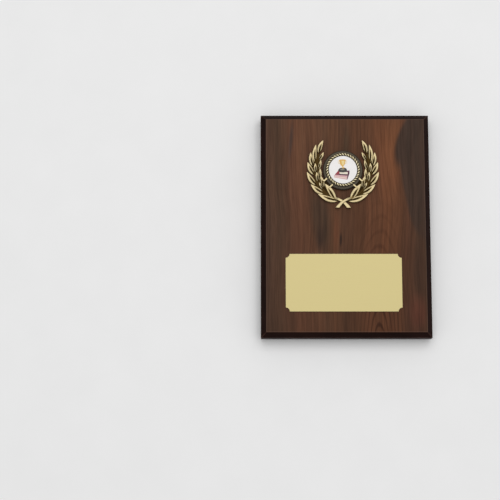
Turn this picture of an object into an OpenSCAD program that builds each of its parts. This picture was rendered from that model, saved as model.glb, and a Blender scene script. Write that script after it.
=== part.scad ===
// Award plaque: a bevelled laminated board with an engraving plate, a cast laurel wreath that
// frames a round centre disc, and a hanger, rubber feet and a folding easel strut on its back.
// The plaque lies on its back: +Z is out of the face, +Y is towards the wreath end, and Z = 0 is
// the surface that the rubber feet rest on. All sizes are in millimetres.

/* [Board] */
// Width of the board across the grain
board_w = 152.4; // [125:0.1:260]
// Length of the board along the grain
board_l = 203.2; // [165:0.1:340]
// Thickness of the fibreboard core
core_t = 15.1; // [12:0.1:22]
// Thickness of the printed laminate on each face
laminate_t = 0.4; // [0.3:0.05:0.8]
// Width of the 45 degree bevel round the face
bevel_w = 5; // [2:0.5:8]

/* [Trim position] */
// Distance of both trims from the board's centre line, to the right
trim_offset = -2.4; // [-4:0.1:4]
// Distance from the top edge down to the wreath's centre
wreath_below_top = 52.6; // [50:0.1:60]
// Distance from the bottom edge up to the engraving plate's centre
plate_above_bottom = 48.8; // [46:0.1:54]

/* [Engraving plate] */
// Width of the engraving plate
plate_w = 103.5; // [60:0.5:106]
// Height of the engraving plate
plate_l = 51.7; // [30:0.1:60]
// Thickness of the engraving plate
plate_t = 0.6; // [0.4:0.1:1.2]
// Radius of the scooped corners
plate_scoop_r = 3.5; // [1:0.5:6]
// Thickness of the adhesive sheet under the plate
plate_tape_t = 0.3; // [0.2:0.05:0.6]
// Distance that the adhesive sheet stays inside the plate's edge
plate_tape_inset = 1.5; // [1:0.5:4]

/* [Centre disc] */
// Diameter of the centre disc
disc_d = 25.4; // [21:0.1:32]
// Thickness of the centre disc
disc_t = 1.2; // [0.8:0.1:2]
// Thickness of the adhesive under the disc
disc_tape_t = 0.3; // [0.2:0.05:0.6]
// Radial gap between the disc and the rope bezel
disc_gap = 0.4; // [0.2:0.05:0.8]
// Thickness of the rope bezel
rope_d = 2.2; // [1.6:0.1:3]

/* [Wreath casting] */
// Width of the ring's shoulder outside the rope bezel
ring_shoulder = 2.7; // [1.5:0.1:4]
// Thickness of the ring under the disc
ring_floor_t = 2.6; // [1.5:0.1:4]
// Height of the seat that the rope bezel stands on, above the ring's floor
rope_seat_rise = 0.4; // [0.2:0.1:1]
// Thickness of the stems where they cross
stem_t = 2.4; // [1.6:0.1:3.5]
// Width of a stem at its cut end
stem_w = 3; // [2:0.1:4]
// Thickness of the outer leaves
leaf_t = 2.2; // [1.4:0.1:3]
// Rise of each further row of leaves over the row outside it
leaf_step = 0.45; // [0.2:0.05:0.8]
// Width of the bars that join the ring to the branches
bar_w = 1.6; // [1:0.1:3]
// Thickness of the adhesive pads under the casting
pad_t = 0.8; // [0.5:0.1:1.5]

/* [Hanger] */
// Distance from the top edge down to the hanger plate's centre
hanger_below_top = 27; // [22:0.5:36]
// Width of the hanger plate
hanger_w = 44; // [38:1:60]
// Height of the hanger plate
hanger_l = 20; // [19:0.5:28]
// Thickness of the hanger plate
hanger_t = 1.2; // [0.8:0.1:1.6]
// Radius of the round entry that a screw head goes in by
keyhole_r = 4.5; // [3.5:0.1:5]
// Width of the narrow slot that the screw's shank rides up
keyhole_slot_w = 4.5; // [3:0.1:5]
// Travel of the shank up the slot
keyhole_travel = 7; // [5:0.5:8]
// Depth of the pocket behind the hanger plate
pocket_depth = 8; // [6:0.5:10]

/* [Feet] */
// Diameter of a rubber foot at the board
foot_d = 12.7; // [8:0.1:16]
// Clearance of the folded hinge above the surface that the feet rest on
hinge_lift = 0.3; // [0.2:0.1:2]
// Distance of each foot's centre from the board's two nearest edges
foot_inset = 14; // [10:0.5:20]

/* [Easel strut] */
// Distance from the top edge down to the strut's hinge pin
strut_below_top = 91.2; // [76:0.1:100]
// Distance that the folded strut's tip stays inside the bottom edge
strut_tip_gap = 4; // [2:0.5:12]
// Thickness of the strut's sheet steel
strut_t = 0.8; // [0.6:0.1:1]
// Width of the leg at its shoulders
leg_w = 22; // [18:0.5:30]
// Width of the leg at its tip
leg_tip_w = 15; // [10:0.5:18]
// Width of the hinge plate
hinge_w = 30; // [28:0.5:36]
// Height of the hinge plate above the pin
hinge_l = 27; // [24:0.5:34]
// Diameter of the hinge pin
pin_d = 1.7; // [1.4:0.05:1.8]
// Width of the leg's knuckle
leg_knuckle_w = 12.4; // [8:0.1:13]
// Length of the vinyl tip
tip_l = 12; // [8:0.5:16]
// Wall of the vinyl tip
tip_wall = 0.8; // [0.6:0.1:0.8]

/* [Wood screws] */
// Diameter of a screw's shank
screw_d = 2.5; // [2:0.1:3]
// Length of a screw under its head
screw_l = 10; // [8:0.5:11]
// Diameter of a screw's head
screw_head_d = 5; // [4.4:0.1:5.4]
// Height of a screw's head
screw_head_h = 1.2; // [0.9:0.1:1.2]

/* [Fits] */
// Radial clearance of the leg's knuckle on the pin
pin_clearance = 0.05; // [0.02:0.01:0.1]
// Side clearance of the leg's knuckle between the plate's knuckles
knuckle_clearance = 0.3; // [0.2:0.05:0.5]
// Clearance of the folded leg's knuckle and heel from the board
heel_clearance = 0.1; // [0.08:0.01:0.2]
// Clearance of the leg in the vinyl tip's pocket
tip_clearance = 0.05; // [0.02:0.01:0.1]
// Radial clearance of a screw's shank in a plate's hole
screw_clearance = 0.2; // [0.1:0.05:0.4]

/* [Hidden] */
$fn = 64;
eps = 0.01;

// Levels above the rest surface: the feet are as tall as the folded hinge and its clearance
foot_h = pin_d + 2 * strut_t + hinge_lift;
back_z = foot_h;
core_z = back_z + laminate_t;
print_z = core_z + core_t;
face_z = print_z + laminate_t;
casting_z = face_z + pad_t;

// Places on the board
wreath_at = [trim_offset, board_l / 2 - wreath_below_top, 0];
plate_at = [trim_offset, plate_above_bottom - board_l / 2, 0];
hanger_at = [0, board_l / 2 - hanger_below_top, 0];
pin_at = [0, board_l / 2 - strut_below_top, back_z - pin_d / 2 - strut_t];
feet_at = [for (sx = [-1, 1], sy = [-1, 1])
    [sx * (board_w / 2 - foot_inset), sy * (board_l / 2 - foot_inset), 0]];

// ---------- Board ----------

// One long profile of the board: square sides, then the bevel up to the face
module bevel_profile(width) {
    half = width / 2;
    polygon([
        [-half, back_z], [half, back_z],
        [half, face_z - bevel_w], [half - bevel_w, face_z],
        [-half + bevel_w, face_z], [-half, face_z - bevel_w]
    ]);
}

// The whole board with its mitred bevels
module board_block() {
    intersection() {
        rotate([90, 0, 0])
            linear_extrude(board_l, center = true)
                bevel_profile(board_w);
        rotate([90, 0, 90])
            linear_extrude(board_w, center = true)
                bevel_profile(board_l);
    }
}

// The board's stretch between two levels
module board_layer(z0, z1) {
    intersection() {
        board_block();
        translate([-board_w, -board_l, z0])
            cube([2 * board_w, 2 * board_l, z1 - z0]);
    }
}

module board_core() {
    color([0.58, 0.46, 0.33])
    difference() {
        board_layer(core_z, print_z);
        hanger_pocket(core_z, back_z + pocket_depth);
        screw_pilots();
    }
}

module face_laminate() {
    color([0.37, 0.23, 0.19]) board_layer(print_z, face_z);
}

module back_laminate() {
    color([0.16, 0.11, 0.10])
    difference() {
        board_layer(back_z, core_z);
        hanger_pocket(back_z - eps, core_z + eps);
        screw_pilots();
    }
}

// ---------- Engraving plate ----------

// Outline of the plate, drawn in by the inset all round, with a scoop out of each corner
module plate_outline(inset) {
    difference() {
        square([plate_w - 2 * inset, plate_l - 2 * inset], center = true);
        for (sx = [-1, 1], sy = [-1, 1])
            translate([sx * plate_w / 2, sy * plate_l / 2])
                circle(plate_scoop_r + inset);
    }
}

module plate_tape() {
    color([0.86, 0.84, 0.78])
    translate(plate_at + [0, 0, face_z])
        linear_extrude(plate_tape_t) plate_outline(plate_tape_inset);
}

module engraving_plate() {
    color([0.83, 0.77, 0.55])
    translate(plate_at + [0, 0, face_z + plate_tape_t])
        linear_extrude(plate_t) plate_outline(0);
}

// ---------- Wreath casting ----------

disc_r = disc_d / 2;
rope_mid_r = disc_r + disc_gap + rope_d / 2;
rope_out_r = rope_mid_r + rope_d / 2;
ring_r = rope_out_r + ring_shoulder;
disc_floor_z = casting_z + ring_floor_t;
rope_seat_z = disc_floor_z + rope_seat_rise;
// The seat's own width under the bezel, and the shoulder's small outer chamfer
seat_margin = 0.3;
ring_chamfer = 0.8;

// Places on the casting are given as [distance outside the ring, angle round it]
function ring_place(p) = (ring_r + p[0]) * [cos(p[1]), sin(p[1])];

// A branch's centre line: seven control points of two joined curves, from the stem's cut end
// round to the last leaf
branch_points = [for (p = [
        [16.7, -98.5], [6.5, -86.5], [10.5, -70.5], [7.5, -45], [7, -22], [8, 8], [9.5, 41]
    ]) ring_place(p)];

function curve(p, t) =
    pow(1 - t, 3) * p[0] + 3 * t * pow(1 - t, 2) * p[1] + 3 * t * t * (1 - t) * p[2] + pow(t, 3) * p[3];
function branch_curve(u) =
    let (second = u > 0.5, k = second ? 3 : 0)
    curve([for (i = [0:3]) branch_points[k + i]], second ? 2 * u - 1 : 2 * u);
function branch_angle(u) =
    let (d = branch_curve(min(u + 0.01, 1)) - branch_curve(max(u - 0.01, 0)))
    atan2(d[1], d[0]);

// Leaves as [place of the foot, place of the tip, width]
outer_leaves = [
    [[10.2, -81.5], [13.4, -44.5], 5.4], [[9.2, -52.5], [13.7, -24.5], 5.2],
    [[9.5, -29.5], [14.3, -3], 5], [[8, -9], [14.4, 13], 4.7], [[9, 8], [15.1, 29.5], 4.3],
    [[8, 16.5], [15.6, 44.5], 4.3], [[8.7, 36], [14.6, 57.5], 4.5]
];
middle_leaves = [
    [[7, -43.5], [6.4, -28.5], 2.4], [[6.7, -25], [5.7, -4.5], 2.9], [[6.3, -5], [7.6, 14], 3.1]
];
inner_leaves = [
    [[10.2, -76.5], [2.5, -38], 5.6], [[5.6, -42.5], [2.5, -16], 3.3], [[5.3, -23.5], [2.5, 4], 3.4],
    [[4, 1.5], [3.8, 25.5], 2.9], [[5.4, 23], [5.8, 43.5], 3.1]
];
// The width of a leaf's crest, and the shares of its length where the crest starts and ends
crest_w = 0.4;
crest_start = 0.2;
crest_end = 0.7;

// One leaf that lies along +X from its foot, pointed at both ends, crowned up to a crest
module leaf(length, width, thickness) {
    steps = 5;
    edge = [for (i = [1:steps - 1]) [length * i / steps, (width / 2) * sin(180 * pow(i / steps, 0.9))]];
    hull() {
        linear_extrude(thickness / 2)
            polygon(concat(
                [[0, 0]], [for (p = edge) [p[0], -p[1]]],
                [[length, 0]], [for (i = [steps - 2:-1:0]) edge[i]]
            ));
        translate([length * crest_start, -crest_w / 2, 0])
            cube([length * (crest_end - crest_start), crest_w, thickness]);
    }
}

module leaf_row(leaves, row) {
    for (l = leaves) {
        foot = ring_place(l[0]);
        reach = ring_place(l[1]) - foot;
        translate(foot)
            rotate(atan2(reach[1], reach[0]))
                leaf(norm(reach), l[2], leaf_t + row * leaf_step);
    }
}

// A flat strip along the branch's centre line, from one share of its length to another.
// half_w(t) is half its width, with t from 0 to 1 along the strip
module branch_strip(first, last, thickness, half_w) {
    steps = 16;
    side = [for (i = [0:steps]) let (t = i / steps, u = first + (last - first) * t) [
        branch_curve(u), branch_angle(u), half_w(t)]];
    linear_extrude(thickness)
        polygon(concat(
            [for (s = side) s[0] + s[2] * [sin(s[1]), -cos(s[1])]],
            [for (i = [steps:-1:0]) side[i][0] - side[i][2] * [sin(side[i][1]), -cos(side[i][1])]]
        ));
}

// The stem thins from its cut end to a share of that width at the last leaf
stem_end_share = 0.3;
module stem() {
    branch_strip(0, 1, stem_t, function (t) (stem_w / 2) * (1 - (1 - stem_end_share) * t));
}

// A thin web at the back of a branch, from its first to its last leaf, ties their feet together
back_web_w = 6.4;
back_web_t = 0.8;
back_web_start = 0.3;
back_web_end = 0.96;
// It narrows at both ends as a sine does between these two angles
back_web_swell = [25, 158];
module back_web() {
    branch_strip(back_web_start, back_web_end, back_web_t,
        function (t) (back_web_w / 2) * sin(back_web_swell[0] * (1 - t) + back_web_swell[1] * t));
}

// Two bars and a thinner web hold the branch to the ring
bar_angle = -41.5;
bar_spread = 7.6;
bar_reach = 6;
web_t = 1.2;
module branch_bars() {
    rotate(bar_angle) {
        for (s = [-1, 1])
            translate([rope_out_r - seat_margin, s * bar_spread / 2 - bar_w / 2, 0])
                cube([ring_shoulder + bar_reach, bar_w, ring_floor_t + rope_seat_rise]);
        translate([rope_out_r, -bar_spread / 2, 0])
            cube([ring_shoulder + bar_reach, bar_spread, web_t]);
    }
}

module branch() {
    stem();
    back_web();
    leaf_row(outer_leaves, 0);
    leaf_row(inner_leaves, 1);
    leaf_row(middle_leaves, 2);
    branch_bars();
}

// The round holder in the middle, with a floor for the disc and a raised seat for the bezel
module ring() {
    seat_r = rope_out_r + seat_margin;
    top = ring_floor_t + rope_seat_rise;
    rotate_extrude($fn = 72)
        polygon([
            [0, 0], [ring_r, 0], [ring_r, ring_floor_t - ring_chamfer],
            [ring_r - ring_chamfer, ring_floor_t], [seat_r, top], [disc_r + disc_gap / 2, top],
            [disc_r + disc_gap / 2, ring_floor_t], [0, ring_floor_t]
        ]);
}

module laurel_wreath() {
    color([0.62, 0.52, 0.30])
    translate(wreath_at + [0, 0, casting_z]) {
        ring();
        branch();
        mirror([1, 0, 0]) branch();
    }
}

// Adhesive pads: a round one under the ring and two under each branch
pad_r = 2;
pad_places = [0.43, 0.78];
module wreath_pads() {
    color([0.9, 0.9, 0.86])
    translate(wreath_at + [0, 0, face_z])
        linear_extrude(pad_t) {
            circle(ring_r - pad_r);
            for (m = [0, 1])
                mirror([m, 0, 0])
                    for (u = pad_places) translate(branch_curve(u)) circle(pad_r);
        }
}

module disc_tape() {
    inset = 1;
    color([0.9, 0.9, 0.86])
    translate(wreath_at + [0, 0, disc_floor_z]) cylinder(h = disc_tape_t, r = disc_r - inset);
}

module centre_disc() {
    edge = 0.25;
    color([0.95, 0.94, 0.92])
    translate(wreath_at + [0, 0, disc_floor_z + disc_tape_t])
        rotate_extrude($fn = 128)
            polygon([[0, 0], [disc_r, 0], [disc_r, disc_t - edge], [disc_r - edge, disc_t], [0, disc_t]]);
}

// A ring of cord section with a flat foot, which stands on the casting's raised seat
module rope_bezel() {
    flat = 0.2;
    color([0.85, 0.76, 0.48])
    translate(wreath_at + [0, 0, rope_seat_z])
        rotate_extrude($fn = 128)
            intersection() {
                translate([rope_mid_r, rope_d / 2 - flat]) circle(rope_d / 2, $fn = 48);
                translate([rope_mid_r - rope_d, 0]) square([2 * rope_d, rope_d]);
            }
}

// ---------- Hanger ----------

// Distance of the round entry's centre below the hanger plate's centre
keyhole_drop = 2.5;
// How far the pocket's walls stand outside the keyhole
pocket_margin = 2;
hanger_corner_r = 4;
hanger_screw_inset = 6;
hanger_screws_at = [for (s = [-1, 1]) hanger_at + [s * (hanger_w / 2 - hanger_screw_inset), 0, 0]];

module rounded_rect(size, r) {
    square([size[0] - 2 * r, size[1]], center = true);
    square([size[0], size[1] - 2 * r], center = true);
    for (sx = [-1, 1], sy = [-1, 1])
        translate([sx * (size[0] / 2 - r), sy * (size[1] / 2 - r)]) circle(r);
}

// The keyhole's outline, grown by a margin
module keyhole(margin) {
    half = keyhole_slot_w / 2 + margin;
    circle(keyhole_r + margin);
    translate([-half, 0]) square([2 * half, keyhole_travel]);
    translate([0, keyhole_travel]) circle(half);
}

module hanger_pocket(z0, z1) {
    translate([hanger_at[0], hanger_at[1] - keyhole_drop, z0])
        linear_extrude(z1 - z0) keyhole(pocket_margin);
}

module hanger_plate() {
    color([0.72, 0.72, 0.70])
    translate([0, 0, back_z - hanger_t])
        difference() {
            translate(hanger_at)
                linear_extrude(hanger_t) rounded_rect([hanger_w, hanger_l], hanger_corner_r);
            translate([hanger_at[0], hanger_at[1] - keyhole_drop, -eps])
                linear_extrude(hanger_t + 2 * eps) keyhole(0);
            for (p = hanger_screws_at)
                translate(p - [0, 0, eps])
                    cylinder(h = hanger_t + 2 * eps, d = screw_d + 2 * screw_clearance);
        }
}

// ---------- Screws ----------

// Pan-head wood screw: its head hangs below Z = 0 and its shank stands above it
module wood_screw() {
    point_l = 3;
    slot_w = 0.7;
    slot_l = screw_head_d * 0.62;
    slot_depth = screw_head_h * 0.6;
    rim = 0.35;
    difference() {
        rotate_extrude()
            polygon([
                [0, -screw_head_h], [screw_head_d * 0.28, -screw_head_h],
                [screw_head_d * 0.42, -screw_head_h * 0.8], [screw_head_d / 2, -rim],
                [screw_head_d / 2, 0], [screw_d / 2, 0],
                [screw_d / 2, screw_l - point_l], [0, screw_l]
            ]);
        for (turn = [0, 90])
            rotate(turn)
                translate([-slot_l / 2, -slot_w / 2, -screw_head_h - eps])
                    cube([slot_l, slot_w, slot_depth]);
    }
}

module hanger_screws() {
    color([0.78, 0.77, 0.74])
    for (p = hanger_screws_at) translate([p[0], p[1], back_z - hanger_t]) wood_screw();
}

module strut_screws() {
    color([0.78, 0.77, 0.74])
    for (p = strut_screws_at) translate([p[0], p[1], back_z - strut_t]) wood_screw();
}

// A pilot is the shank's own size, as deep as the screw reaches
module screw_pilots() {
    for (p = concat(hanger_screws_at, strut_screws_at))
        translate([p[0], p[1], back_z - eps]) cylinder(h = screw_l, d = screw_d);
}

// ---------- Feet ----------

module bumper_feet() {
    round_r = 1;
    draft = 0.7;
    foot_r = foot_d / 2;
    color([0.20, 0.20, 0.20])
    for (p = feet_at)
        translate(p)
            rotate_extrude($fn = 96)
                polygon(concat(
                    [[0, foot_h], [0, 0]],
                    [for (a = [-90:15:0]) [
                        foot_r - draft - round_r + round_r * cos(a), round_r + round_r * sin(a)]],
                    [[foot_r, foot_h]]
                ));
}

// ---------- Easel strut ----------

knuckle_r = pin_d / 2 + strut_t;
leg_knuckle_r = knuckle_r - heel_clearance;
gap_w = leg_knuckle_w + 2 * knuckle_clearance;
strut_open = 30;
// The heel meets the board's back when the leg stands fully open
heel_l = (knuckle_r - heel_clearance - (strut_t / 2) * cos(strut_open)) / sin(strut_open);
leg_l = board_l - strut_below_top - strut_tip_gap - tip_wall;
leg_shoulder = 9;
// The hinge plate's screws: how far they stand above the pin, and beside the middle
strut_screw_rows = [9, 21];
strut_screw_side = hinge_w / 3;
strut_screws_at = [for (sx = [-1, 1], y = strut_screw_rows) pin_at + [sx * strut_screw_side, y, 0]];

module along_x(width) {
    translate([-width / 2, 0, 0]) rotate([90, 0, 90]) linear_extrude(width) children();
}

module strut_plate() {
    notch_l = heel_l + 1;
    corner = 3;
    color([0.74, 0.73, 0.70])
    difference() {
        translate(pin_at) {
            translate([-hinge_w / 2, 0, knuckle_r - strut_t]) cube([hinge_w, hinge_l - corner, strut_t]);
            translate([0, hinge_l / 2, knuckle_r - strut_t])
                linear_extrude(strut_t) rounded_rect([hinge_w, hinge_l], corner);
            along_x(hinge_w) circle(knuckle_r);
        }
        translate(pin_at + [-gap_w / 2, -2 * knuckle_r, -2 * knuckle_r])
            cube([gap_w, 2 * knuckle_r + notch_l, 4 * knuckle_r]);
        translate(pin_at) along_x(hinge_w + 2) circle(d = pin_d);
        for (p = strut_screws_at)
            translate([p[0], p[1], back_z - strut_t - eps])
                cylinder(h = strut_t + 2 * eps, d = screw_d + 2 * screw_clearance);
    }
}

// The pin is riveted over a little at both ends
module strut_pin() {
    head_r = pin_d / 2 + 0.4;
    head_t = 0.5;
    half = hinge_w / 2;
    color([0.66, 0.65, 0.62])
    translate(pin_at)
        rotate([0, 90, 0])
            rotate_extrude()
                polygon([
                    [0, -half - head_t], [head_r * 0.7, -half - head_t], [head_r, -half - head_t / 2],
                    [head_r, -half], [pin_d / 2, -half], [pin_d / 2, half], [head_r, half],
                    [head_r, half + head_t / 2], [head_r * 0.7, half + head_t], [0, half + head_t]
                ]);
}

// Outline of the leg's sheet, which runs from the heel down to the tip
module leg_outline() {
    tip_r = 4;
    neck_y = -knuckle_r - 0.5;
    polygon([
        [-leg_knuckle_w / 2, heel_l], [-leg_knuckle_w / 2, neck_y],
        [-leg_w / 2, neck_y - leg_shoulder], [-leg_tip_w / 2, tip_r - leg_l],
        [leg_tip_w / 2, tip_r - leg_l], [leg_w / 2, neck_y - leg_shoulder],
        [leg_knuckle_w / 2, neck_y], [leg_knuckle_w / 2, heel_l]
    ]);
    translate([0, tip_r - leg_l])
        for (s = [-1, 1]) translate([s * (leg_tip_w / 2 - tip_r), 0]) circle(tip_r);
    translate([-leg_tip_w / 2 + tip_r, -leg_l]) square([leg_tip_w - 2 * tip_r, 2 * tip_r]);
}

// A raised stiffening rib runs down most of the leg's outer side
rib_w = 6;
rib_rise = 0.5;
rib_start = 16;
rib_end = 22;
module strut_leg() {
    rib_l = leg_l - rib_start - rib_end;
    color([0.74, 0.73, 0.70])
    translate(pin_at)
        difference() {
            union() {
                translate([0, 0, -strut_t / 2]) linear_extrude(strut_t) leg_outline();
                along_x(leg_knuckle_w) circle(leg_knuckle_r);
                translate([0, -rib_start - rib_l / 2, -strut_t / 2 - rib_rise])
                    linear_extrude(rib_rise + eps) rounded_rect([rib_w, rib_l], rib_w / 2 - eps);
            }
            along_x(leg_knuckle_w + 2) circle(d = pin_d + 2 * pin_clearance);
        }
}

// A vinyl tip pushed over the end of the leg
module strut_foot() {
    side_wall = tip_wall + 0.5;
    corner_r = 4;
    outer_w = leg_tip_w + 2 * side_wall;
    outer_t = strut_t + 2 * tip_wall;
    tip_y = -leg_l - tip_wall;
    color([0.13, 0.13, 0.13])
    translate(pin_at)
        difference() {
            translate([0, tip_y + tip_l / 2, -outer_t / 2])
                linear_extrude(outer_t) rounded_rect([outer_w, tip_l], corner_r);
            translate([0, 0, -strut_t / 2 - tip_clearance])
                linear_extrude(strut_t + 2 * tip_clearance)
                    intersection() {
                        union() {
                            leg_outline();
                            translate([0, tip_clearance]) leg_outline();
                        }
                        translate([-leg_w, tip_y]) square([2 * leg_w, 2 * tip_l]);
                    }
        }
}

board_core();
face_laminate();
back_laminate();
engraving_plate();
plate_tape();
laurel_wreath();
wreath_pads();
rope_bezel();
centre_disc();
disc_tape();
hanger_plate();
hanger_screws();
bumper_feet();
strut_plate();
strut_screws();
strut_pin();
strut_leg();
strut_foot();
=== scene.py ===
# The looks of an award plaque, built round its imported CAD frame: a bevelled board with a
# mahogany-print face, a satin gold engraving plate, a cast laurel wreath round a printed disc,
# and the hanger, feet and folding strut on its back.
import math

import bmesh
import bpy
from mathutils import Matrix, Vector


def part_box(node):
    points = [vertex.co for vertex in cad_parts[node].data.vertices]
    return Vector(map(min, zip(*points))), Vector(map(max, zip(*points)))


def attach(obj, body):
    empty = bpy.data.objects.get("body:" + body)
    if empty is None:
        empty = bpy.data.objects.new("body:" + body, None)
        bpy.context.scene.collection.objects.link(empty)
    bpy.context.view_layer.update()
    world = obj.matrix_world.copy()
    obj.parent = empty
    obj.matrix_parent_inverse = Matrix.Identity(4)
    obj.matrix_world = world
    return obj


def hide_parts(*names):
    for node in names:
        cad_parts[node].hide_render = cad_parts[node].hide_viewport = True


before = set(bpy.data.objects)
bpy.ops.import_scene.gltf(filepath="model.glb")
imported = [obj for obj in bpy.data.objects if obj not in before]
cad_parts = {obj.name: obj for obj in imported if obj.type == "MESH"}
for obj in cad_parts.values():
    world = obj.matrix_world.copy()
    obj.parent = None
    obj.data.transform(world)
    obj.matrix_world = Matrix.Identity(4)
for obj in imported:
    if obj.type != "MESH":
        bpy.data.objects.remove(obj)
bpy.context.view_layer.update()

MM = 0.001
ROOT = "plaque"
LEG = "strut"


# ---------- places and sizes taken from the frame ----------

face_low, face_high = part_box("face_laminate")
core_low, core_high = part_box("board_core")
disc_low, disc_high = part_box("centre_disc")
rope_low, rope_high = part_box("rope_bezel")
face_z = face_high.z
print_z = core_high.z
back_z = core_low.z
disc_r = (disc_high.x - disc_low.x) / 2
rope_out_r = (rope_high.x - rope_low.x) / 2
wreath_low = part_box("laurel_wreath")[0]
# The wreath's middle, at the casting's back: its ring, leaves, rope and disc are placed from here
hub = Vector(((disc_low.x + disc_high.x) / 2, (disc_low.y + disc_high.y) / 2, wreath_low.z))


# ---------- shaders ----------

def linear(code):
    """An sRGB hex code as a linear RGBA colour."""
    parts = [int(code[i:i + 2], 16) / 255 for i in (1, 3, 5)]
    return tuple(c / 12.92 if c <= 0.04045 else ((c + 0.055) / 1.055) ** 2.4 for c in parts) + (1.0,)


def add(tree, kind, links=None, stops=(), out=0, **settings):
    """A node with its settings, its inputs as values or other nodes' outputs, and a ramp's stops."""
    made = tree.nodes.new(kind)
    for name, value in settings.items():
        setattr(made, name, value)
    for key, value in (links or {}).items():
        if isinstance(value, bpy.types.NodeSocket):
            tree.links.new(value, made.inputs[key])
        else:
            made.inputs[key].default_value = value
    for i, (position, code) in enumerate(stops):
        stop = made.color_ramp.elements[i] if i < 2 else made.color_ramp.elements.new(position)
        stop.position = position
        stop.color = linear(code)
    return made.outputs[out]


def new_material(name, constants):
    """A material with a Principled shader, whose constant sockets are set here."""
    material = bpy.data.materials.new(name)
    material.use_nodes = True
    shader = material.node_tree.nodes["Principled BSDF"]
    for key, value in constants.items():
        shader.inputs[key].default_value = value
    return material, material.node_tree, shader


def per_mm(x, y, z):
    """The scale that makes one turn of a pattern this many millimetres long each way."""
    return 1 / (x * MM), 1 / (y * MM), 1 / (z * MM)


# The print's ground colour across the board, by share of the face's width from its left side
GROUND = [(0.00, "#5B4335"), (0.08, "#624736"), (0.17, "#6D4A37"), (0.24, "#6E4A36"), (0.31, "#6F4C37"),
          (0.37, "#6A4A36"), (0.42, "#6C4A34"), (0.49, "#634431"), (0.57, "#6C4832"), (0.66, "#714A33"),
          (0.76, "#764C33"), (0.83, "#714A33"), (0.89, "#664432"), (0.97, "#59402F")]
# Soft patches of figure in mm: centre x and y, half width and length, lean in degrees, colour,
# and how far in from its rim a patch reaches full colour
PATCHES = [
    (-40, 66, 7, 44, -3, "#76513B", 0.9), (-48, 76, 2.6, 26, -5, "#58433A", 0.8),
    (-24, 4, 12, 42, 7, "#554031", 0.7), (-24, -12, 6, 18, 0, "#4A372C", 0.9),
    (-4.7, -14, 1.6, 9, 0, "#422F24", 0.7), (-9, -8, 4, 30, 0, "#734A33", 1.0),
    (2, 72, 5, 30, 0, "#56402F", 0.9), (43, 62, 14, 60, -8, "#87573A", 0.9),
    (76, 50, 27, 72, 0, "#4D3B31", 0.14), (58, 80, 10, 34, -18, "#4B3A31", 0.4),
    (67, -40, 9, 50, 0, "#563D2F", 0.9), (64, -80, 13, 24, 0, "#714636", 0.9),
    (44, -62, 8, 44, -4, "#734A34", 1.0)]
# Streaks and pores of the print: width and length of one in mm, where in the noise they start,
# and their darkest and palest tone
STREAKS = [
    (6, 150, 3, "#DADBD9", "#FFF9F5"), (1.7, 80, 7, "#DCDAD7", "#FFFFFF"),
    (0.6, 18, 11, "#D6D1CD", "#FFFFFF")]


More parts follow.
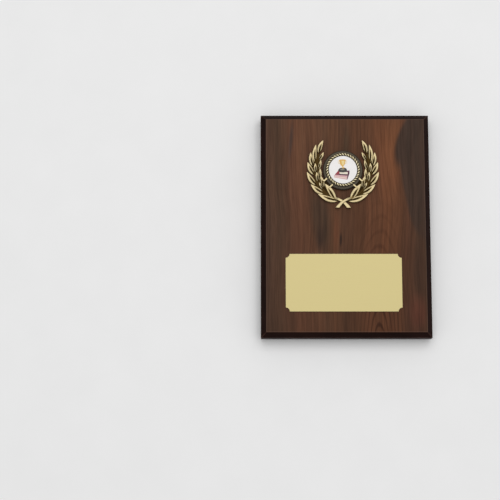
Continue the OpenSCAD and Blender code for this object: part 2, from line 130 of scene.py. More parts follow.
def mahogany_print():
    """Melamine sheet printed with mahogany and pressed satin: long streaks and broad red and olive
    patches run up the board, with fine dark pores and hardly any gloss."""
    material, tree, shader = new_material("mahogany_print_laminate", {
        "Roughness": 0.5, "Specular IOR Level": 0.08})
    place = add(tree, "ShaderNodeTexCoord", out="Object")
    # the whole figure wanders a little, as the tree did
    wander = add(tree, "ShaderNodeTexNoise", {"Vector": place, "Scale": 1 / (80 * MM), "Detail": 1.0},
                 out="Color")
    centred = add(tree, "ShaderNodeVectorMath", {0: wander, 1: (0.5, 0.5, 0.5)}, operation="SUBTRACT")
    bent = add(tree, "ShaderNodeVectorMath", {0: centred, 1: (12 * MM, 8 * MM, 0), 2: place},
               operation="MULTIPLY_ADD")
    spot = add(tree, "ShaderNodeSeparateXYZ", {"Vector": bent}).node.outputs
    across = add(tree, "ShaderNodeMapRange", {
        "Value": spot["X"], "From Min": face_low.x, "From Max": face_high.x})
    upward = add(tree, "ShaderNodeMapRange", {
        "Value": spot["Y"], "From Min": face_low.y, "From Max": face_high.y})
    colour = add(tree, "ShaderNodeValToRGB", {"Fac": across}, GROUND)
    for x, y, half_w, half_l, lean, code, reach in PATCHES:
        local = add(tree, "ShaderNodeMapping", {
            "Vector": bent, "Location": (x * MM, y * MM, face_z),
            "Rotation": (0, 0, math.radians(lean)), "Scale": (half_w * MM, half_l * MM, 1)},
            vector_type="TEXTURE")
        inward = add(tree, "ShaderNodeTexGradient", {"Vector": local}, out="Fac", gradient_type="SPHERICAL")
        mask = add(tree, "ShaderNodeMapRange", {"Value": inward, "From Max": reach},
                   interpolation_type="SMOOTHSTEP")
        colour = add(tree, "ShaderNodeMix", {"Factor": mask, 6: colour, 7: linear(code)}, out=2,
                     data_type="RGBA")
    # cathedral figure: fine arches that open downwards from the right of the middle
    arch_place = add(tree, "ShaderNodeMapping", {
        "Vector": bent, "Location": (30 * MM, -118 * MM, face_z), "Scale": (32 * MM, 150 * MM, 1)},
        vector_type="TEXTURE")
    arches = add(tree, "ShaderNodeTexWave", {
        "Vector": arch_place, "Scale": 3.4, "Distortion": 1.2, "Detail": 2.0, "Detail Scale": 1.5},
        wave_type="RINGS", rings_direction="SPHERICAL")
    near = add(tree, "ShaderNodeTexGradient", {"Vector": arch_place}, out="Fac", gradient_type="SPHERICAL")
    arch_tone = add(tree, "ShaderNodeValToRGB", {"Fac": arches}, [(0.0, "#A89C94"), (0.35, "#FFFFFF")])
    layers = [(near, arch_tone)]
    for streak_w, streak_l, seed, dark, light in STREAKS:
        local = add(tree, "ShaderNodeMapping", {
            "Vector": bent, "Location": (seed, seed, 0), "Scale": per_mm(streak_w, streak_l, 50)})
        lines = add(tree, "ShaderNodeTexNoise", {"Vector": local, "Scale": 1.0, "Detail": 2.0})
        layers.append((0.8, add(tree, "ShaderNodeValToRGB", {"Fac": lines}, [(0.3, dark), (0.6, light)])))
    for share, layer in layers:
        colour = add(tree, "ShaderNodeMix", {"Factor": share, 6: colour, 7: layer}, out=2,
                     data_type="RGBA", blend_type="MULTIPLY")
    # painted shade: the face is darkened towards the bottom of the board
    bottom_shade = add(tree, "ShaderNodeValToRGB", {"Fac": upward}, [(0.0, "#DEDAD8"), (1.0, "#FFFFFF")])
    colour = add(tree, "ShaderNodeMix", {"Factor": 1.0, 6: colour, 7: bottom_shade}, out=2,
                 data_type="RGBA", blend_type="MULTIPLY")
    # painted highlight: the sheet's eased edge is painted paler, where it catches the light
    edge_glint_mask = add(tree, "ShaderNodeAttribute", out="Fac", attribute_name="edge")
    edge_glint_share = add(tree, "ShaderNodeMath", {0: edge_glint_mask, 1: 0.6}, operation="MULTIPLY")
    colour = add(tree, "ShaderNodeMix", {"Factor": edge_glint_share, 6: colour, 7: linear("#6B5348")}, out=2,
                 data_type="RGBA")
    tree.links.new(colour, shader.inputs["Base Color"])
    relief = add(tree, "ShaderNodeBump", {"Height": lines, "Distance": 0.015 * MM, "Strength": 0.35})
    tree.links.new(relief, shader.inputs["Normal"])
    return material


def lacquered_fibreboard():
    """Routed fibreboard under sprayed dark brown lacquer: almost black, satin, with soft orange-peel ripples,
    and a browner tone along its eased edges, painted on as a highlight where they catch the light."""
    material, tree, shader = new_material("lacquered_fibreboard", {
        "Roughness": 0.45, "Specular IOR Level": 0.04})
    place = add(tree, "ShaderNodeTexCoord", out="Object")
    cloud_place = add(tree, "ShaderNodeMapping", {"Vector": place, "Scale": per_mm(22, 22, 7)})
    cloud = add(tree, "ShaderNodeTexNoise", {"Vector": cloud_place, "Scale": 1.0, "Detail": 3.0})
    body = add(tree, "ShaderNodeValToRGB", {"Fac": cloud}, [(0.3, "#180B08"), (0.7, "#22110D")])
    peel = add(tree, "ShaderNodeTexNoise", {"Vector": place, "Scale": 1 / (1.4 * MM), "Detail": 1.0})
    # painted highlight: a browner tone along the eased edges, patchy with the clouds
    edge_wear_and_glint = add(tree, "ShaderNodeAttribute", out="Fac", attribute_name="edge")
    glint_patchiness = add(tree, "ShaderNodeMapRange", {
        "Value": cloud, "From Min": 0.3, "From Max": 0.7, "To Min": 0.2})
    share = add(tree, "ShaderNodeMath", {0: edge_wear_and_glint, 1: glint_patchiness}, operation="MULTIPLY")
    body = add(tree, "ShaderNodeMix", {"Factor": share, 6: body, 7: linear("#453029")}, out=2,
               data_type="RGBA")
    tree.links.new(body, shader.inputs["Base Color"])
    relief = add(tree, "ShaderNodeBump", {"Height": peel, "Distance": 0.02 * MM, "Strength": 0.3})
    tree.links.new(relief, shader.inputs["Normal"])
    return material


def anodised_sheet():
    """Pale gold anodised aluminium, satin brushed along its length: an even glow, hair-fine lines drawn 0.4
    mm wide so that they show, and a brighter edge, painted on as a highlight where the eased rim catches the
    light."""
    material, tree, shader = new_material("satin_gold_anodised_aluminium", {"Metallic": 1.0})
    place = add(tree, "ShaderNodeTexCoord", out="Object")
    line_place = add(tree, "ShaderNodeMapping", {"Vector": place, "Scale": per_mm(45, 0.4, 10)})
    lines = add(tree, "ShaderNodeTexNoise", {"Vector": line_place, "Scale": 1.0, "Detail": 2.0})
    body = add(tree, "ShaderNodeValToRGB", {"Fac": lines}, [(0.3, "#B9AD7C"), (0.7, "#BFB282")])
    # painted highlight: a brighter tone on the eased rim
    rim_glint = add(tree, "ShaderNodeAttribute", out="Fac", attribute_name="edge")
    body = add(tree, "ShaderNodeMix", {"Factor": rim_glint, 6: body, 7: linear("#E6DAA6")}, out=2,
               data_type="RGBA")
    tree.links.new(body, shader.inputs["Base Color"])
    rough = add(tree, "ShaderNodeMapRange", {"Value": lines, "To Min": 0.46, "To Max": 0.56})
    tree.links.new(rough, shader.inputs["Roughness"])
    relief = add(tree, "ShaderNodeBump", {"Height": lines, "Distance": 0.003 * MM, "Strength": 0.25})
    tree.links.new(relief, shader.inputs["Normal"])
    return material


def antique_gold():
    """Die-cast zinc plated in antique gold, then buffed: pale and bright on the high spots, with the dark
    wash left in every recess, deepened by painted shade along the leaves' rims and wherever a part runs under
    a leaf, and a faint cast grain."""
    material, tree, shader = new_material("antique_gold_casting", {"Metallic": 1.0})
    place = add(tree, "ShaderNodeTexCoord", out="Object")
    # the casting's wash, with painted shade added to it
    wash_and_shade = add(tree, "ShaderNodeAttribute", out="Fac", attribute_name="patina")
    grit = add(tree, "ShaderNodeTexNoise", {"Vector": place, "Scale": 1 / (0.7 * MM), "Detail": 3.0})
    blotch = add(tree, "ShaderNodeMapRange", {"Value": grit, "To Min": -0.14, "To Max": 0.14})
    depth = add(tree, "ShaderNodeMath", {0: wash_and_shade, 1: blotch}, operation="ADD")
    body = add(tree, "ShaderNodeValToRGB", {"Fac": depth}, [
        (0.08, "#AFA07B"), (0.3, "#9C895F"), (0.5, "#7C663D"), (0.7, "#5A4624"), (1.0, "#3E2F17")])
    tree.links.new(body, shader.inputs["Base Color"])
    rough = add(tree, "ShaderNodeMapRange", {"Value": depth, "To Min": 0.36, "To Max": 0.75})
    tree.links.new(rough, shader.inputs["Roughness"])
    relief = add(tree, "ShaderNodeBump", {"Height": grit, "Distance": 0.03 * MM, "Strength": 0.3})
    tree.links.new(relief, shader.inputs["Normal"])
    return material


def bright_gold():
    """Bright gold plating on the rope ring: shiny crowns, with painted shade down in the lay of the strands
    and on the rope's inner and outer sides.
    """
    material, tree, shader = new_material("bright_gold_plating", {"Metallic": 1.0})
    place = add(tree, "ShaderNodeTexCoord", out="Object")
    # painted shade on the rope, worked out from its shape
    rope_shade = add(tree, "ShaderNodeAttribute", out="Fac", attribute_name="patina")
    haze = add(tree, "ShaderNodeTexNoise", {"Vector": place, "Scale": 1 / (1.5 * MM), "Detail": 2.0})
    blotch = add(tree, "ShaderNodeMapRange", {"Value": haze, "To Min": -0.08, "To Max": 0.08})
    depth = add(tree, "ShaderNodeMath", {0: rope_shade, 1: blotch}, operation="ADD")
    body = add(tree, "ShaderNodeValToRGB", {"Fac": depth}, [
        (0.1, "#E6DBB4"), (0.35, "#B29D6C"), (0.6, "#4C3C1E"), (0.9, "#1C150C")])
    tree.links.new(body, shader.inputs["Base Color"])
    rough = add(tree, "ShaderNodeMapRange", {"Value": depth, "To Min": 0.32, "To Max": 0.6})
    tree.links.new(rough, shader.inputs["Roughness"])
    return material


def finish(name, low, high, grain_mm, rough, depth_mm, constants, edge=None):
    """A moulded, rolled, plated or printed surface: two close tones in soft clouds of a real size, a
    roughness that swings a little about its typical value, a relief, and a tone for broken edges."""
    swing = 0.07
    material, tree, shader = new_material(name, constants)
    place = add(tree, "ShaderNodeTexCoord", out="Object")
    grain_place = add(tree, "ShaderNodeMapping", {"Vector": place, "Scale": per_mm(*grain_mm)})
    grain = add(tree, "ShaderNodeTexNoise", {"Vector": grain_place, "Scale": 1.0, "Detail": 3.0})
    body = add(tree, "ShaderNodeValToRGB", {"Fac": grain}, [(0.3, low), (0.7, high)])
    if edge:
        edge_wear_and_glint = add(tree, "ShaderNodeAttribute", out="Fac", attribute_name="edge")
        body = add(tree, "ShaderNodeMix", {"Factor": edge_wear_and_glint, 6: body, 7: linear(edge)}, out=2,
                   data_type="RGBA")
    tree.links.new(body, shader.inputs["Base Color"])
    dull = add(tree, "ShaderNodeMapRange", {"Value": grain, "To Min": rough - swing, "To Max": rough + swing})
    tree.links.new(dull, shader.inputs["Roughness"])
    relief = add(tree, "ShaderNodeBump", {"Height": grain, "Distance": depth_mm * MM, "Strength": 0.35})
    tree.links.new(relief, shader.inputs["Normal"])
    return material


FACE = mahogany_print()
LACQUER = lacquered_fibreboard()
PLATE = anodised_sheet()
CASTING = antique_gold()
ROPE = bright_gold()
# the holder's face is not buffed: an even, dull, olive-grey wash over the cast metal
WASHED = finish("dark_washed_casting", "#4C463B", "#575045", (3, 3, 3), 0.52, 0.01, {"Metallic": 1.0})
# kraft backing paper, printed dark and rolled on: dead matt, with long soft fibres
BACKING = finish("dark_backing_paper", "#2A1D17", "#382821", (1.2, 14, 1.2), 0.68, 0.03,
                 {"Specular IOR Level": 0.25}, "#4A372E")
# press-polished acrylic, white behind and clear in front: a smooth wet gloss
DISC = finish("white_gloss_acrylic", "#ECE9E6", "#F2EFED", (6, 6, 6), 0.25, 0.0, {})
# screen-printed inks on the disc: flat, slightly pitted colour with a low gloss
INK_TONES = {
    "gold": ("#D9A94E", "#E6BE66"), "pale_gold": ("#EBD18D", "#F2DFA6"),
    "charcoal": ("#2B2A28", "#3C3A36"), "grey": ("#7D7869", "#8E8A7B"),
    "red": ("#8E2E38", "#A03A44"), "plum": ("#4C2338", "#5E2C45"),
    "pink": ("#D3A3A6", "#DDB4B6"), "cream": ("#E4DAC4", "#EDE5D2")}
INKS = {name: finish("ink_" + name, low, high, (0.6, 0.6, 0.6), 0.4, 0.004, {"Specular IOR Level": 0.3})
        for name, (low, high) in INK_TONES.items()}
# cold-rolled steel, stamped and zinc plated: cool grey, cloudy shine, brighter at sheared edges
STEEL = finish("zinc_plated_sheet_steel", "#A9ACAE", "#C6C8C8", (4, 4, 4), 0.34, 0.01,
               {"Metallic": 1.0}, "#DADBD8")
# wire-drawn and headed steel, zinc plated: a little warmer and brighter than the sheet
SCREW = finish("zinc_plated_screw_steel", "#AFA894", "#CFC8B2", (1.2, 1.2, 1.2), 0.28, 0.01,
               {"Metallic": 1.0})
# moulded natural rubber: charcoal black, matt, with a fine sandy mould texture
RUBBER = finish("moulded_black_rubber", "#141414", "#222222", (0.8, 0.8, 0.8), 0.75, 0.05,
                {"Specular IOR Level": 0.3})
# dip-moulded vinyl: soft black with a dull waxy shine
VINYL = finish("dipped_black_vinyl", "#121213", "#1D1D1F", (1.5, 1.5, 1.5), 0.42, 0.02, {})
# closed-cell foam tape: off-white and chalky, with small cells at its cut sides
TAPE = finish("foam_tape", "#D6D3C9", "#E6E3DA", (0.6, 0.6, 0.6), 0.85, 0.05, {"Specular IOR Level": 0.2})
# bleached cotton paper for the table: one even, matt, pale tone
PAPER = finish("table_paper", "#F4F4F4", "#F6F6F6", (40, 40, 40), 0.92, 0.0, {"Specular IOR Level": 0.0})


# ---------- building pieces ----------

class Shell:
    """A piece while it is being made: its points with their patina and painted shade, and its faces with the
    number of the finish that each takes."""

    def __init__(self):
        self.points, self.faces, self.patina, self.inks = [], [], [], []

    def loft(self, loops, patina=None, closed_path=False, ink=0):
        """Skins a list of closed loops, each a list of points, and caps both ends of an open path."""
        first, count = len(self.points), len(loops[0])
        for i, loop in enumerate(loops):
            self.points += [tuple(p) for p in loop]
            self.patina += list(patina[i]) if patina else [0.0] * count
        before = len(self.faces)
        for i in range(len(loops) if closed_path else len(loops) - 1):
            here = first + i * count
            there = first + ((i + 1) % len(loops)) * count
            self.faces += [(here + j, here + (j + 1) % count, there + (j + 1) % count, there + j)
                           for j in range(count)]
        if not closed_path:
            last = first + (len(loops) - 1) * count
            self.faces.append(tuple(first + j for j in reversed(range(count))))
            self.faces.append(tuple(last + j for j in range(count)))
        self.inks += [ink] * (len(self.faces) - before)


CREASE = math.radians(38)
# Faces larger than this are flat sides, which smoothing would only dull
FLAT_AREA = 60 * MM * MM


def shade(mesh, crease=CREASE):
    """Smooths curved faces, keeps edges sharper than the crease crisp, and leaves big faces flat."""
    work = bmesh.new()
    work.from_mesh(mesh)
    bmesh.ops.recalc_face_normals(work, faces=work.faces)
    for f in work.faces:
        f.smooth = f.calc_area() < FLAT_AREA
    for e in work.edges:
        e.smooth = len(e.link_faces) == 2 and e.calc_face_angle(0) < crease
    work.to_mesh(mesh)
    work.free()


def place(name, mesh, materials, slot, body=ROOT, stands_for=()):
    """Puts a finished mesh in the scene as a piece that rides on a body."""
    piece = bpy.data.objects.new(name, mesh)
    bpy.context.scene.collection.objects.link(piece)
    for m in materials:
        mesh.materials.append(m)
    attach(piece, body)
    if stands_for:
        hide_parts(*stands_for)
    return piece


def make(name, shell, materials, slot, stands_for=(), crease=CREASE):
    """Turns a finished shell into a piece."""
    mesh = bpy.data.meshes.new(name)
    mesh.from_pydata(shell.points, [], shell.faces)
    mesh.attributes.new("patina", "FLOAT", "POINT").data.foreach_set("value", shell.patina)
    mesh.polygons.foreach_set("material_index", shell.inks)
    shade(mesh, crease)
    return place(name, mesh, materials, slot, stands_for=stands_for)


def eased(node, width_mm, material, slot, body=ROOT, segments=2, bonded=()):
    """A copy of a CAD node whose sharp outer edges are broken, as a stamped or routed edge is.
    Edges at a bonded level, where the next layer is glued on, stay sharp."""
    weld, level, flat, corner = 0.001 * MM, 0.01 * MM, math.radians(0.5), math.radians(30)
    work = bmesh.new()
    work.from_mesh(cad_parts[node].data)
    bmesh.ops.remove_doubles(work, verts=work.verts, dist=weld)
    bmesh.ops.dissolve_limit(work, angle_limit=flat, verts=work.verts, edges=work.edges)
    edge = work.faces.layers.float.new("edge")
    sharp = [e for e in work.edges
             if len(e.link_faces) == 2 and e.is_convex and e.calc_face_angle(0) > corner
             and not any(abs(e.verts[0].co.z - z) + abs(e.verts[1].co.z - z) < level for z in bonded)]
    broken = bmesh.ops.bevel(work, geom=sharp, offset=width_mm * MM, segments=segments, profile=0.5,
                             affect="EDGES", clamp_overlap=True)["faces"]
    for f in broken:
        f[edge] = 1.0
    mesh = bpy.data.meshes.new(node + "_eased")
    work.to_mesh(mesh)
    work.free()
    shade(mesh)
    return place(node + "_eased", mesh, [material], slot, body, [node])


def dress(node, material):
    """A CAD node that keeps its own mesh gets its finish."""
    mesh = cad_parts[node].data
    mesh.materials.clear()
    mesh.materials.append(material)


def smooth(low, high, x):
    """Rises softly from 0 to 1 as x goes from low to high."""
    t = min(max((x - low) / (high - low), 0.0), 1.0)
    return t * t * (3 - 2 * t)


# ---------- laurel wreath ----------

RING_SHOULDER = 2.7 * MM
RING_FLOOR = 2.6 * MM
SEAT_RISE = 0.4 * MM
ring_r = rope_out_r + RING_SHOULDER
# A branch's bars: the direction in which they leave the ring, and the distance between their middles
BARS_AT = math.radians(-41.5)
BAR_SPREAD = 7.6 * MM

# Places on the casting are (distance outside the ring in mm, angle round it in degrees).
# A branch's centre line: two joined curves from its cut end round to its last leaf
BRANCH = [(16.7, -98.5), (6.5, -86.5), (10.5, -70.5), (7.5, -45), (7, -22), (8, 8), (9.5, 41)]
# Leaves: place of the foot, place of the tip, width in mm
OUTER_LEAVES = [
    ((10.2, -81.5), (13.4, -44.5), 5.4), ((9.2, -52.5), (13.7, -24.5), 5.2),
    ((9.5, -29.5), (14.3, -3), 5), ((8, -9), (14.4, 13), 4.7), ((9, 8), (15.1, 29.5), 4.3),
    ((8, 16.5), (15.6, 44.5), 4.3), ((8.7, 36), (14.6, 57.5), 4.5)]
MIDDLE_LEAVES = [
    ((7, -43.5), (6.4, -28.5), 2.4), ((6.7, -25), (5.7, -4.5), 2.9), ((6.3, -5), (7.6, 14), 3.1)]
INNER_LEAVES = [
    ((10.2, -76.5), (2.5, -38), 5.6), ((5.6, -42.5), (2.5, -16), 3.3), ((5.3, -23.5), (2.5, 4), 3.4),
    ((4, 1.5), (3.8, 25.5), 2.9), ((5.4, 23), (5.8, 43.5), 3.1)]


def ring_place(at):
    """The point beside the hub that a place on the casting stands for."""
    angle = math.radians(at[1])
    return (ring_r + at[0] * MM) * Vector((math.cos(angle), math.sin(angle)))


branch_points = [ring_place(p) for p in BRANCH]


def branch_at(u):
    """A point on the branch's two joined curves, from its cut end (0) to its last leaf (1)."""
    second = u > 0.5
    p = branch_points[3:7] if second else branch_points[0:4]
    t = 2 * u - 1 if second else 2 * u
    return ((1 - t) ** 3 * p[0] + 3 * t * (1 - t) ** 2 * p[1] + 3 * t * t * (1 - t) * p[2] + t ** 3 * p[3])


def branch_along(u):
    """The direction in which the branch grows at u."""
    return (branch_at(min(u + 0.01, 1)) - branch_at(max(u - 0.01, 0))).normalized()


def on_hub(flat, height, side):
    """A point of the casting, from its place beside the hub and its height; side -1 mirrors it."""
    return hub + Vector((side * flat.x, flat.y, height))


def hub_circle(r, z, count):
    """Points round the hub, at a radius and a height above it."""
    turns = [2 * math.pi * i / count for i in range(count)]
    return [hub + Vector((r * math.cos(a), r * math.sin(a), z)) for a in turns]


def leaf(shell, foot, tip, width, low, crest, bow, side):
    """One cast leaf: two raised halves that meet in its tip, either side of a vein that widens
    towards the foot, where the halves end apart."""
    steps, half_columns = 20, 10
    valley_depth, rim_drop, foot_drop, full_depth_half_w = 0.8 * MM, 0.45 * MM, 0.4 * MM, 1.5 * MM
    tip_half_w = 0.03 * MM
    start, end = ring_place(foot), ring_place(tip)
    reach = end - start
    across = Vector((-reach.y, reach.x)).normalized()
    # a leaf bows away from its branch; the half on the branch's side is narrower and shorter
    inner = -1 if bow > 0 else 1
    loops, shade_and_wash_rows = [], []
    for i in range(steps + 1):
        # s runs from just past the foot to just before the tip
        s = 0.004 + 0.992 * i / steps
        # the outline is widest a little nearer the foot, and fuller than a plain arch
        half = width / 2 * MM * math.sin(math.pi * s ** 0.82) ** 0.78 + tip_half_w
        centre = start + reach * s + across * (bow * reach.length * math.sin(math.pi * s))
        top = (low + (crest - low) * smooth(0, 0.7, s)) * MM
        # the vein is open as far as the middle and closes before the tip
        opening = 1 - smooth(0.42, 0.74, s)
        vein = 0.05 + 0.09 * opening
        room = min(1, half / full_depth_half_w)
        loop, tone = [], []
        for j in range(-half_columns, half_columns + 1):
            v = j / half_columns
            valley = (1 - smooth(vein, vein + 0.18, abs(v - inner * 0.15))) * opening ** 0.5
            edge = smooth(0.84, 1.0, abs(v))
            on_branch_side = v * inner > 0
            shown = smooth(0.12, 0.26, s) if on_branch_side else smooth(0, 0.14, s)
            z = top - valley * valley_depth * room - edge * rim_drop - (1 - shown) * foot_drop
            loop.append(on_hub(centre + across * half * v, z, side))
            # the dark wash stays in the vein; along the rim and at the foot, tucked under the tip of the leaf
            # before, the darkness is partly wash and partly painted shade
            dark = valley * 0.85 + edge * 0.75 + 0.7 * (1 - shown) + 0.12 * on_branch_side
            tone.append(min(1, dark))
        for v in (1, -1):
            loop.append(on_hub(centre + across * half * v, 0, side))
            tone.append(1.0)
        loops.append(loop)
        shade_and_wash_rows.append(tone)
    shell.loft(loops, shade_and_wash_rows)


def stem(shell, side, rise):
    """A branch's stem: a ridge cut off level at its flared end, which sinks away under the leaves."""
    steps, last = 40, 0.97
    # across the ridge: place from side to side, share of the height, patina and painted shade
    section = [(-1, 0, 1), (-1, 0.75, 0.8), (-0.88, 0.93, 0.2), (-0.6, 1, 0), (0, 0.98, 0.05),
               (0.6, 1, 0), (0.88, 0.93, 0.2), (1, 0.75, 0.8), (1, 0, 1)]
    loops, shade_and_wash_rows = [], []
    for i in range(steps + 1):
        u = i / steps * last
        along = branch_along(u)
        across = Vector((-along.y, along.x))
        half = (1.7 - 0.5 * smooth(0, 0.14, u) - 0.3 * smooth(0.2, 0.4, u)) * MM
        top = (rise - 1.2 * smooth(0.2, 0.3, u)) * MM
        level_cut = -along.x / along.y * (1 - smooth(0, 0.14, u))
        loops.append([on_hub(branch_at(u) + (across + along * level_cut) * half * v, top * h, side)
                      for v, h, _ in section])
        # partly wash and partly painted shade: the stem darkens where it sinks under the leaves
        shade_and_wash_rows.append([min(1, t + 0.75 * smooth(0.24, 0.34, u)) for _, _, t in section])
    shell.loft(loops, shade_and_wash_rows)


def bars(shell, side):
    """Two raised bars and a thinner web between the ring and a branch; the web and the bars' far ends are
    dark, partly with wash and partly as painted shade under the leaves and between the bars.
    """
    along = Vector((math.cos(BARS_AT), math.sin(BARS_AT)))
    across = Vector((-along.y, along.x))
    inside, shown, reach = rope_out_r + 0.5 * MM, ring_r + 2.3 * MM, ring_r + 6 * MM
    top, bar_half, web_top = RING_FLOOR + SEAT_RISE, 0.75 * MM, 1.2 * MM
    # across a beam: place from side to side, share of the height, patina and painted shade
    section = [(-1, 0, 1), (-1, 0.8, 0.5), (-0.8, 1, 0), (0.8, 1, 0), (1, 0.8, 0.5), (1, 0, 1)]

    def beam(offset, half, rungs):
        """A beam through rungs of (radius, height, added patina and painted shade)."""
        shell.loft([[on_hub(along * r + across * (offset + half * v), z * h, side) for v, h, _ in section]
                    for r, z, _ in rungs],
                   [[min(1, t + dark) for _, _, t in section] for _, _, dark in rungs])

    # partly wash and partly painted shade: the bars darken where they dip under the leaves, and the web
    # between them is dark
    for s in (-1, 1):
        beam(s * BAR_SPREAD / 2, bar_half, [
            (inside, top, 0.05), (shown - 0.4 * MM, top, 0.05),
            (shown, top * 0.8, 0.6), (reach, web_top, 0.9)])
    beam(0, BAR_SPREAD / 2, [(rope_out_r, web_top, 1.0), (reach, web_top, 1.0)])


def web(shell, side):
    """The thin back of a branch that shows between the leaves, dark with wash and with painted shade where
    the leaves shade it.
    """
    steps, first, length, full_half_w, patina = 24, 0.3, 0.66, 3.2 * MM, 0.78
    # across the web: place from side to side, height in mm
    section = ((-1, 0), (-1, 0.7), (-0.9, 0.8), (0.9, 0.8), (1, 0.7), (1, 0))
    loops = []
    for i in range(steps + 1):
        u = first + length * i / steps
        along = branch_along(u)
        across = Vector((-along.y, along.x))
        half = full_half_w * math.sin(math.pi * (0.14 + 0.74 * i / steps))
        loops.append([on_hub(branch_at(u) + across * half * v, h * MM, side) for v, h in section])
    shell.loft(loops, [[patina] * len(section)] * len(loops))


def ring(shell):
    """The dark round holder: shoulder, raised seat for the rope bezel and a floor for the disc."""
    top, floor_z = RING_FLOOR + SEAT_RISE, RING_FLOOR
    seat = rope_out_r + 0.3 * MM
    lip = disc_r + 0.2 * MM
    # the holder's section: radius, height above the hub
    profile = [
        (lip, 0), (ring_r - 0.15 * MM, 0), (ring_r, 0.15 * MM), (ring_r, floor_z - 0.9 * MM),
        (ring_r - 0.25 * MM, floor_z - 0.45 * MM), (ring_r - 0.8 * MM, floor_z - 0.1 * MM),
        (ring_r - 1.4 * MM, floor_z), (seat + 0.4 * MM, floor_z), (seat + 0.1 * MM, top - 0.1 * MM),
        (seat, top), (lip, top)]
    circles = [hub_circle(r, z, 160) for r, z in profile]
    shell.loft(list(zip(*circles)), closed_path=True, ink=1)
    shell.loft([hub_circle(lip, z, 96) for z in (0, floor_z)], ink=1)


def laurel_wreath():
    """The whole casting. The right branch's stem crosses over the left one's."""
    # rows of leaves: height of their feet and crests in mm, and how far they bow
    rows = ((OUTER_LEAVES, 0.9, 2.2, -0.06), (INNER_LEAVES, 1.2, 2.5, 0.03), (MIDDLE_LEAVES, 1.7, 3.0, -0.02))
    shell = Shell()
    ring(shell)
    for side in (1, -1):
        stem(shell, side, 2.7 if side == 1 else 2.0)
        web(shell, side)
        bars(shell, side)
        for leaves, low, crest, bow in rows:
            for foot, tip, width in leaves:
                leaf(shell, foot, tip, width, low, crest, bow, side)
    return make("wreath_casting", shell, [CASTING, WASHED], "antique_gold_casting", ["laurel_wreath"])


def rope_bezel():
    """A two-strand rope bent into a ring, with a flat foot."""
    beads, strands, deepest = 36, 2, 0.35
    turns, columns = beads * 10, 24
    # a little over half the bezel's height, because the foot is cut flat
    radius = (rope_high.z - rope_low.z) / 2 * 1.1
    centre_r = rope_out_r - radius
    rise = rope_high.z - radius - hub.z
    foot = rope_low.z - hub.z
    loops, shade_and_wash_rows = [], []
    for i in range(turns):
        a = 2 * math.pi * i / turns
        outward = Vector((math.cos(a), math.sin(a), 0))
        loop, tone = [], []
        for j in range(columns):
            b = 2 * math.pi * j / columns
            crown = 0.5 - 0.5 * math.cos(strands * b + beads * a)
            dent = (1 - crown) ** 2
            r = radius * (1 - deepest * dent)
            z = max(rise + r * math.sin(b), foot)
            loop.append(hub + outward * (centre_r + r * math.cos(b)) + Vector((0, 0, z)))
            # painted shade: dark down in the lay between the strands, and on the rope's inner and outer sides
            # and underneath
            tone.append(min(1, dent * 1.1 + 0.8 * (1 - smooth(0.0, 0.6, math.sin(b)))))
        loops.append(loop)
        shade_and_wash_rows.append(tone)
    shell = Shell()
    shell.loft(loops, shade_and_wash_rows, closed_path=True)
    return make("rope_ring", shell, [ROPE], "bright_gold_plating", ["rope_bezel"], math.radians(60))


# ---------- centre disc ----------

def oval(x, y, half_w, half_l, first=0, last=360, count=32):
    """An ellipse, or an arc of one, which has a point at its end as well."""
    points = count + (last - first < 360)
    angles = [math.radians(first + (last - first) * i / count) for i in range(points)]
    return [(x + half_w * math.cos(a), y + half_l * math.sin(a)) for a in angles]


def handle(x, y, r, band, first, last):
    """A curved band, for a cup's handle."""
    inside = r - band
    return oval(x, y, r, r * 1.1, first, last, 12) + oval(x, y, inside, inside * 1.1, first, last, 12)[::-1]


def cup_bowl(rim_y, foot_y, half):
    """A bowl that narrows from its rim to its foot, about the cup's own middle."""
    middle = -0.4
    rows = [i / 10 for i in range(11)]
    right = [(half * (0.16 + 0.84 * (1 - t ** 2) ** 0.6), rim_y + (foot_y - rim_y) * t) for t in rows]
    return [(middle + x, y) for x, y in right] + [(middle - x, y) for x, y in reversed(right)]


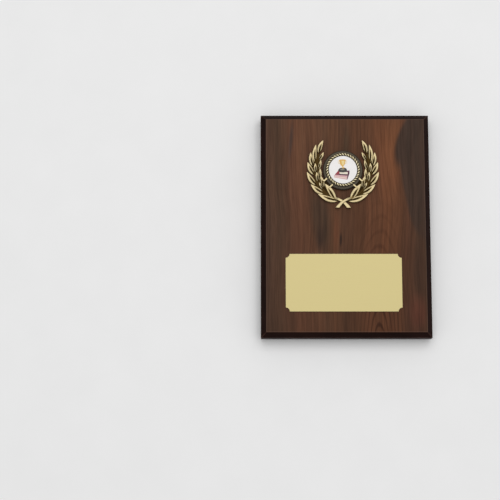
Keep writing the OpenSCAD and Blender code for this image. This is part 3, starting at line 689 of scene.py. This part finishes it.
def printed_disc():
    """The centre disc with its print of a cup on a plinth and two books, as thin films of ink."""
    shell = Shell()
    edge, sides = 0.25 * MM, 128
    turned_in = edge * 0.3
    low, top = disc_low.z - hub.z, disc_high.z - hub.z
    rims = [(disc_r, low), (disc_r, top - edge), (disc_r - turned_in, top - turned_in), (disc_r - edge, top)]
    shell.loft([hub_circle(r, z, sides) for r, z in rims])
    # films in mm from the disc's centre, the lowest first
    films = [
        ("pink", [(-8.2, -5.6), (-7.2, -4.4), (4.1, -5.2), (3.4, -9.2), (-7.9, -7.2)]),
        ("cream", [(-7.7, -6.1), (3.2, -7.5), (3.1, -8.1), (-7.7, -6.6)]),
        ("plum", [(-7.4, -4.6), (4.4, -5.6), (5.9, -0.8), (-4.2, -0.8)]),
        ("red", [(-7.4, -4.5), (-3.4, -4.3), (-3.2, -2.0), (-4.2, -0.8)]),
        ("cream", [(-3.2, -2.2), (4.4, -2.2), (4.1, -4.2), (-3.1, -3.9)]),
        ("plum", [(4.4, -1.4), (5.9, -0.8), (5.7, -3.6), (3.9, -9.0), (3.3, -8.9), (4.1, -5.0)]),
        ("charcoal", oval(-0.4, -0.6, 4.0, 1.9)),
        ("charcoal", [(-4.4, -0.6), (3.6, -0.6), (3.1, 0.9), (-3.3, 0.9)]),
        ("charcoal", oval(-0.2, 0.9, 3.2, 0.9)),
        ("grey", oval(-0.5, 0.2, 2.0, 0.75)),
        ("gold", oval(0.3, 1.7, 1.3, 0.5)),
        ("gold", [(-0.1, 1.6), (0.7, 1.6), (0.2, 3.5), (-0.9, 3.5)]),
        ("pale_gold", handle(2.2, 7.0, 1.5, 0.35, -100, 100)),
        ("pale_gold", handle(-3.0, 7.0, 1.5, 0.35, 80, 280)),
        ("gold", cup_bowl(8.9, 3.2, 2.8)),
        ("pale_gold", [(x * 0.45 + 0.2, y * 0.94 + 0.3) for x, y in cup_bowl(8.4, 4.2, 2.8)]),
        ("gold", oval(-0.4, 8.9, 2.8, 0.5)),
    ]
    names = list(INKS)
    root = top - 0.05 * MM
    for i, (name, outline) in enumerate(films):
        # each film stands a little higher than the one before, so that no two lie in one plane
        film_top = top + (0.012 + 0.006 * i) * MM
        shell.loft([[hub + Vector((x * MM, y * MM, z)) for x, y in outline] for z in (root, film_top)],
                   ink=1 + names.index(name))
    return make("printed_disc", shell, [DISC, *INKS.values()], "disc_plastic", ["centre_disc"])


laurel_wreath()
rope_bezel()
printed_disc()
eased("board_core", 0.35, LACQUER, "lacquered_fibreboard", segments=3, bonded=(print_z, back_z))
eased("face_laminate", 0.2, FACE, "face_woodgrain", bonded=(print_z,))
eased("back_laminate", 0.12, BACKING, "back_paper", bonded=(back_z,))
eased("engraving_plate", 0.12, PLATE, "satin_gold_sheet")
eased("hanger_plate", 0.2, STEEL, "zinc_plated_steel")
eased("strut_plate", 0.12, STEEL, "zinc_plated_steel")
eased("strut_leg", 0.12, STEEL, "zinc_plated_steel", LEG)
eased("strut_foot", 0.4, VINYL, "tip_vinyl", LEG, segments=3)
for name, material in {
    "plate_tape": TAPE, "wreath_pads": TAPE, "disc_tape": TAPE, "hanger_screws": SCREW,
    "strut_screws": SCREW, "strut_pin": SCREW, "bumper_feet": RUBBER,
}.items():
    dress(name, material)


# ---------- table, light and camera ----------

def table():
    """Plain pale paper. It is open under the board between its feet, so that light reaches the
    hanger and the strut on its back, and the strut has room to swing."""
    far, side_margin, end_margin = 3.0, 22 * MM, 9 * MM
    half_w, half_l = core_high.x - side_margin, core_high.y - end_margin
    outside = [(-far, -far), (far, -far), (far, far), (-far, far)]
    inside = [(-half_w, -half_l), (half_w, -half_l), (half_w, half_l), (-half_w, half_l)]
    mesh = bpy.data.meshes.new("table")
    mesh.from_pydata([(x, y, 0) for x, y in outside + inside], [],
                     [(i, (i + 1) % 4, 4 + (i + 1) % 4, 4 + i) for i in range(4)])
    sheet = bpy.data.objects.new("table", mesh)
    bpy.context.scene.collection.objects.link(sheet)
    mesh.materials.append(PAPER)


def soft_light(name, at, aim, size, power):
    """A square softbox at a place, turned to what it lights."""
    data = bpy.data.lights.new(name, "AREA")
    data.shape = "SQUARE"
    data.size = size
    data.energy = power
    lamp = bpy.data.objects.new(name, data)
    lamp.location = at
    lamp.rotation_euler = (Vector(aim) - Vector(at)).to_track_quat("-Z", "Y").to_euler()
    bpy.context.scene.collection.objects.link(lamp)


def studio():
    """Even white light all round, and one large softbox above the far end."""
    world = bpy.data.worlds.new("studio")
    world.use_nodes = True
    sky = world.node_tree.nodes["Background"]
    sky.inputs["Color"].default_value = linear("#FFFFFF")
    sky.inputs["Strength"].default_value = 0.56
    bpy.context.scene.world = world
    soft_light("top_box", (0.1, 0.6, 2.4), (0, 0, 0), 2.2, 26)
    bpy.context.scene.view_settings.view_transform = "Standard"


def camera():
    """Looks along the board's length from its near end, steeply down on the face."""
    elevation = 80.58
    data = bpy.data.cameras.new("camera")
    data.lens = 101.6
    data.sensor_width = 36
    eye = bpy.data.objects.new("camera", data)
    eye.location = (-0.0859, -0.2295, face_z + 1.2429)
    eye.rotation_euler = (math.radians(90 - elevation), 0, 0)
    bpy.context.scene.collection.objects.link(eye)
    bpy.context.scene.camera = eye


table()
studio()
camera()
